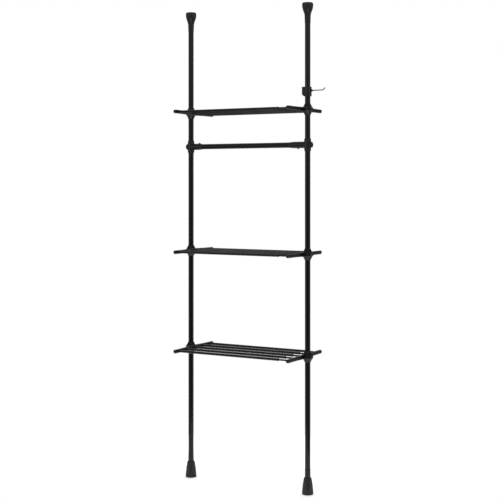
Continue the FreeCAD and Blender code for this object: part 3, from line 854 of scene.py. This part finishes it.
knob = {
    "columns": 180,
    "studRadius": 3 * mm,
    "thickness": 8 * mm,
    "undersideInset": 0.7 * mm,
    "widestRise": 2.2 * mm,
    "faceInset": 0.5 * mm,
    "faceDrop": 3.6 * mm,         # drops are measured down from the top of the dome
    "crownRadius": 7.8 * mm,
    "crownDrop": 0.1 * mm,
    "ridgeInset": 2.6 * mm,
    "dimpleInset": 3.4 * mm,
    "dimpleDrop": 0.8 * mm,
    "centreDrop": 1.0 * mm,
    "roundings": (0.4 * mm, 0.1 * mm, 0.9 * mm, 2.5 * mm, 2.8 * mm, 1.2 * mm, 0.8 * mm, 0.8 * mm),
    "roundSteps": 7,
    "lobes": 6,
    "lobeDepth": 1.5 * mm,
    "lobeSharpness": 6.0,
    "lobeFade": 4.5 * mm,
}


def knobOutline(radius, length):
    # stud, flat underside, rounded rim and a domed face with a shallow dimple
    base = length - knob["thickness"]
    return roundCorners([
        (0, 0),
        (knob["studRadius"], 0),
        (knob["studRadius"], base),
        (radius - knob["undersideInset"], base),
        (radius, base + knob["widestRise"]),
        (radius - knob["faceInset"], length - knob["faceDrop"]),
        (knob["crownRadius"], length - knob["crownDrop"]),
        (knob["crownRadius"] - knob["ridgeInset"], length),
        (knob["crownRadius"] - knob["dimpleInset"], length - knob["dimpleDrop"]),
        (0, length - knob["centreDrop"]),
    ], knob["roundings"], knob["roundSteps"])


def knobRipple(radius, height, angle):
    # finger grooves, a power of a cosine, reach only the outer half of the face
    wave = np.cos(knob["lobes"] / 2 * angle) ** knob["lobeSharpness"]
    outside = np.clip((radius - knob["crownRadius"]) / knob["lobeFade"], 0, 1)
    return radius - knob["lobeDepth"] * wave * outside, height


for side in ("left", "right"):
    node = f"bar_{side}_knob"
    low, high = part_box(node)
    inner = high.x if side == "left" else low.x
    outline = knobOutline((high.y - low.y) / 2, high.x - low.x)
    shell = aimed(turnedShell(outline, knob["columns"], knobRipple), side)
    shell = moved(shell, (inner, 0, (low.z + high.z) / 2))
    makePiece(f"bar_{side}_lobed_knob", [shell], "moulded_plastic", node, node)
print("stage 7: knobs made")


# camera

view = {
    "place": (2.9465, -4.685, 1.447),
    "way": (-0.4872, 0.8733, 0),
    "lens": 80.7,
    "sensorWidth": 36,
    "shiftY": -0.134,
    "clipEnd": 200,
}

camera = bpy.data.cameras.new("camera")
camera.lens = view["lens"]
camera.sensor_width = view["sensorWidth"]
camera.shift_y = view["shiftY"]
camera.clip_end = view["clipEnd"]
cameraObject = bpy.data.objects.new("camera", camera)
bpy.context.scene.collection.objects.link(cameraObject)
cameraObject.location = view["place"]
cameraObject.rotation_euler = Vector(view["way"]).to_track_quat("-Z", "Y").to_euler()
bpy.context.scene.camera = cameraObject


# floor

floorLook = {
    "radius": 1.1,
    "columns": 128,
    "dark": (0.86, 0.86, 0.86, 1),
    "light": (0.9, 0.9, 0.9, 1),
    "mottle": (2.2, 4.0),
    "roughness": 0.8,
    "mottleRough": 0.1,
    "grain": (300.0, 2.0),
    "bumpDepth": 0.0001,
    "bumpStrength": 0.3,
}

floorMesh = bpy.data.meshes.new("floor")
floorRing = turned(floorLook["radius"], 0, fullTurn(floorLook["columns"]))
floorMesh.from_pydata(floorRing.tolist(), [], [list(range(len(floorRing)))])
floorMaterial = bpy.data.materials.new("pale floor")
recipe = Recipe(floorMaterial)
mottle = recipe.noise(*floorLook["mottle"])
recipe.finish({
    "Base Color": recipe.blend(mottle, floorLook["dark"], floorLook["light"]),
    "Roughness": mottle * floorLook["mottleRough"] + floorLook["roughness"],
    "Normal": recipe.add("ShaderNodeBump", {}, {
        "Height": recipe.noise(*floorLook["grain"]),
        "Distance": floorLook["bumpDepth"],
        "Strength": floorLook["bumpStrength"],
    }),
})
floorMesh.materials.append(floorMaterial)
floor = bpy.data.objects.new("floor", floorMesh)
floor.location = ((poleX("left") + poleX("right")) / 2, 0, 0)
bpy.context.scene.collection.objects.link(floor)


# light

studio = {
    "lampWay": (-0.27, 0.48, 0.83),      # the bright side lies above and behind the unit
    "strength": 2.8,
    "glows": (                           # place from opposite the lamp, 0, to the lamp, 1, and its grey
        (0.0, 0.55),
        (0.12, 0.20),
        (0.19, 0.006),
        (0.26, 0.006),
        (0.32, 0.36),
        (0.42, 0.34),
        (0.53, 0.24),
        (0.60, 0.06),
        (0.72, 0.04),
        (0.84, 0.06),
        (0.94, 0.38),
    ),
    "overheadPower": 275.0,
    "overheadSize": 5,
    "overheadPlace": (0.3, 0.4, 4.6),
}

bpy.context.scene.view_settings.view_transform = "Standard"
world = bpy.data.worlds.new("studio")
bpy.context.scene.world = world
recipe = Recipe(world)
direction = recipe.add("ShaderNodeTexCoord", output="Generated")
toLamp = {0: direction, 1: studio["lampWay"]}
facing = recipe.add("ShaderNodeVectorMath", {"operation": "DOT_PRODUCT"}, toLamp, "Value")
glow = recipe.ramp(facing * 0.5 + 0.5, studio["glows"]) * studio["strength"]
seen = recipe.add("ShaderNodeLightPath", output="Is Camera Ray")
shown = recipe.blend(seen, glow, (1, 1, 1, 1))       # the camera itself sees plain white
background = recipe.add("ShaderNodeBackground", {}, {"Color": shown, "Strength": 1.0})
recipe.add("ShaderNodeOutputWorld", {}, {"Surface": background})

overhead = bpy.data.lights.new("overhead", "AREA")
overhead.energy = studio["overheadPower"]
overhead.size = studio["overheadSize"]
overheadObject = bpy.data.objects.new("overhead", overhead)
overheadObject.location = studio["overheadPlace"]
overheadObject.visible_glossy = False
bpy.context.scene.collection.objects.link(overheadObject)
print("stage 8: camera, floor and light set")
